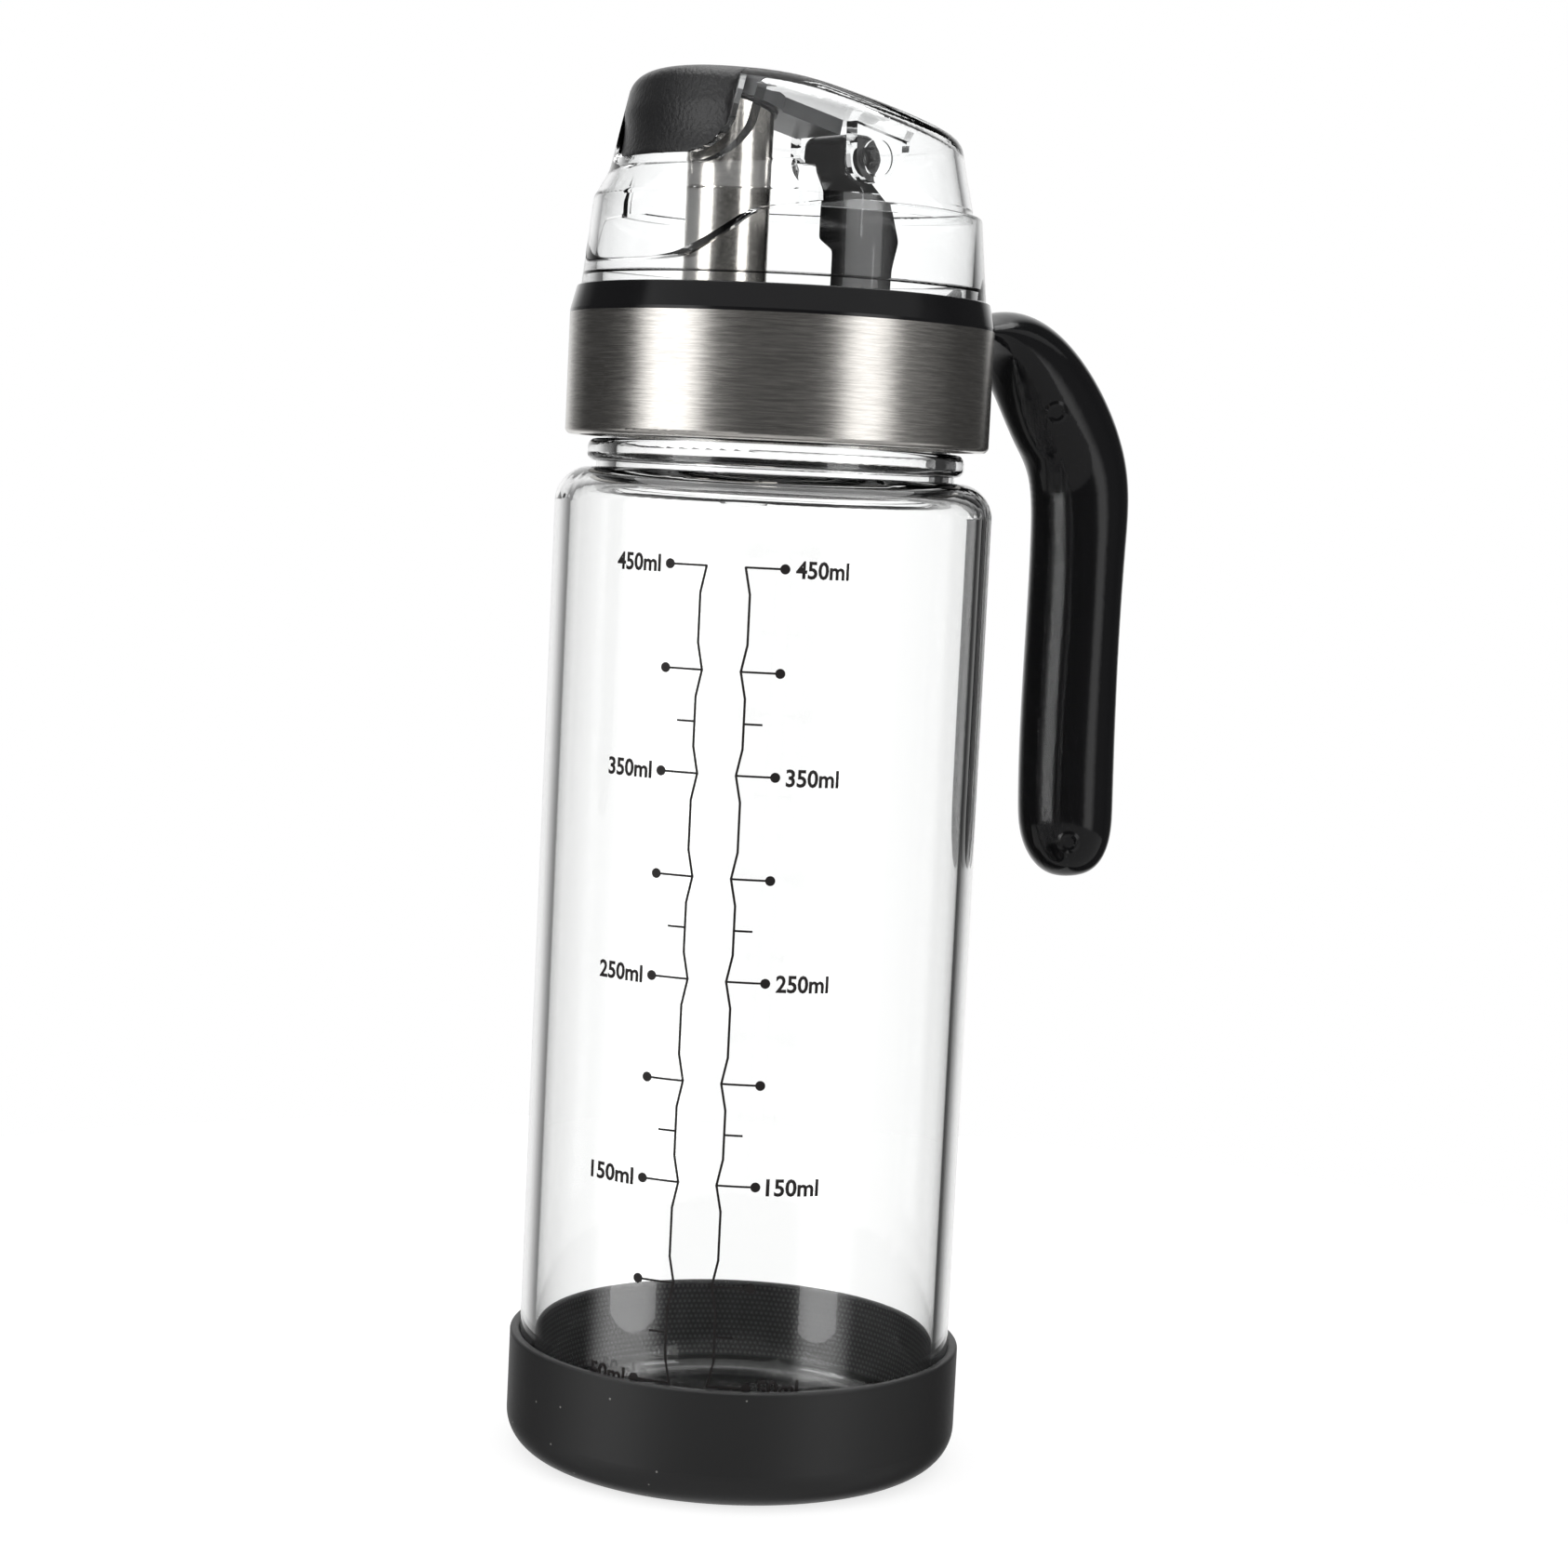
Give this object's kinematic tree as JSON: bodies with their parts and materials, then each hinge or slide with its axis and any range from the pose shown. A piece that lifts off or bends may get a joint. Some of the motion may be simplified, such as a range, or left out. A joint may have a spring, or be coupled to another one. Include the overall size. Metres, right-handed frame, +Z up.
{
  "type": "oil cruet",
  "caption": "Tall clear glass oil cruet in a soft black base sleeve, with a screw-on pouring head: steel spout, clear hinged lid with a thumb pad, and a hook handle",
  "frame": {"origin": "On the bottle's axis, at the underside of the base sleeve", "axes": "+Z up along the bottle, -X the way the spout pours, +X towards the handle, +Y across"},
  "size_m": [0.1095, 0.0722, 0.2178],
  "materials": {
    "glass": "clear",
    "clear_plastic": "clear, gloss",
    "sleeve_silicone": "matte",
    "seal_silicone": "matte, translucent white",
    "stopper_silicone": "matte",
    "black_plastic": "gloss",
    "grey_plastic": "satin",
    "soft_pad": "matte, fine grain",
    "steel": "brushed"
  },
  "bodies": {
    "bottle": {"glass_bottle": "glass", "base_sleeve": "sleeve_silicone"},
    "seal": {"neck_gasket": "seal_silicone"},
    "head": {"thread_liner": "black_plastic", "cap_housing": "black_plastic", "steel_band": "steel", "handle": "black_plastic", "handle_screws": "steel", "drip_seal": "seal_silicone", "clear_guard": "clear_plastic", "spout_tube": "steel", "spout_seal": "seal_silicone", "spout_nut": "steel", "vent_grommet": "seal_silicone", "hinge_post": "black_plastic", "post_screws": "steel"},
    "lid": {"lid_shell": "clear_plastic", "thumb_pad": "soft_pad", "stopper_carrier": "grey_plastic", "spout_stopper": "stopper_silicone"}
  },
  "joints": [
    {"name": "cap_rise", "type": "slide", "parent": "bottle", "child": "seal", "axis": [0, 0, 1], "range_m": [0, 0.0051]},
    {"name": "cap_turn", "type": "hinge", "parent": "seal", "child": "head", "pos_m": [0, 0, 0.17], "axis": [0, 0, 1], "range_deg": [0, 450]},
    {"name": "lid_hinge", "type": "hinge", "parent": "head", "child": "lid", "pos_m": [0.0104, 0, 0.2067], "axis": [0, 1, 0], "range_deg": [0, 34]}
  ],
  "couplings": [
    {"joint": "cap_rise", "follows": "cap_turn", "m_per_rad": 0.00063662}
  ]
}
